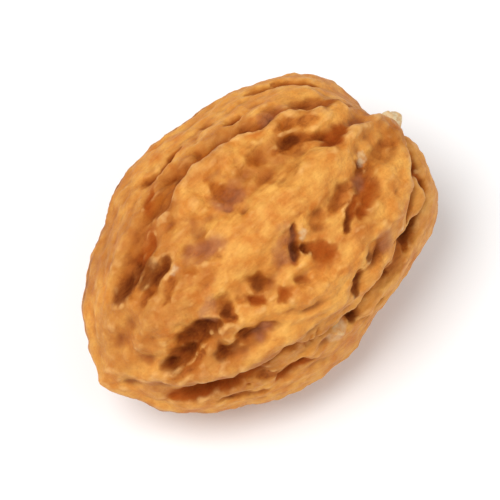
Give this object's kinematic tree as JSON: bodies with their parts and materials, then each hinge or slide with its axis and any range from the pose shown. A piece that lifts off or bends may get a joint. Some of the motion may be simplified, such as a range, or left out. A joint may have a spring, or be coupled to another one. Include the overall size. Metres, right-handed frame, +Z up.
{
  "type": "walnut",
  "caption": "Whole walnut in its shell, an elongated nut with a raised seam rim, wrinkled cheeks, a small beak and a pale stalk scar, lying on a small flat spot.",
  "frame": {"origin": "on the resting surface, under the middle of the nut's box", "axes": "+X along the nut towards the blunt stalk end, +Z up from the resting surface, +Y completes a right-handed frame"},
  "size_m": [0.0446, 0.03, 0.0297],
  "materials": {
    "shell": "dry matt nutshell, golden tan with red-brown hollows"
  },
  "bodies": {
    "root": {"walnut_shell": "shell"}
  },
  "joints": []
}
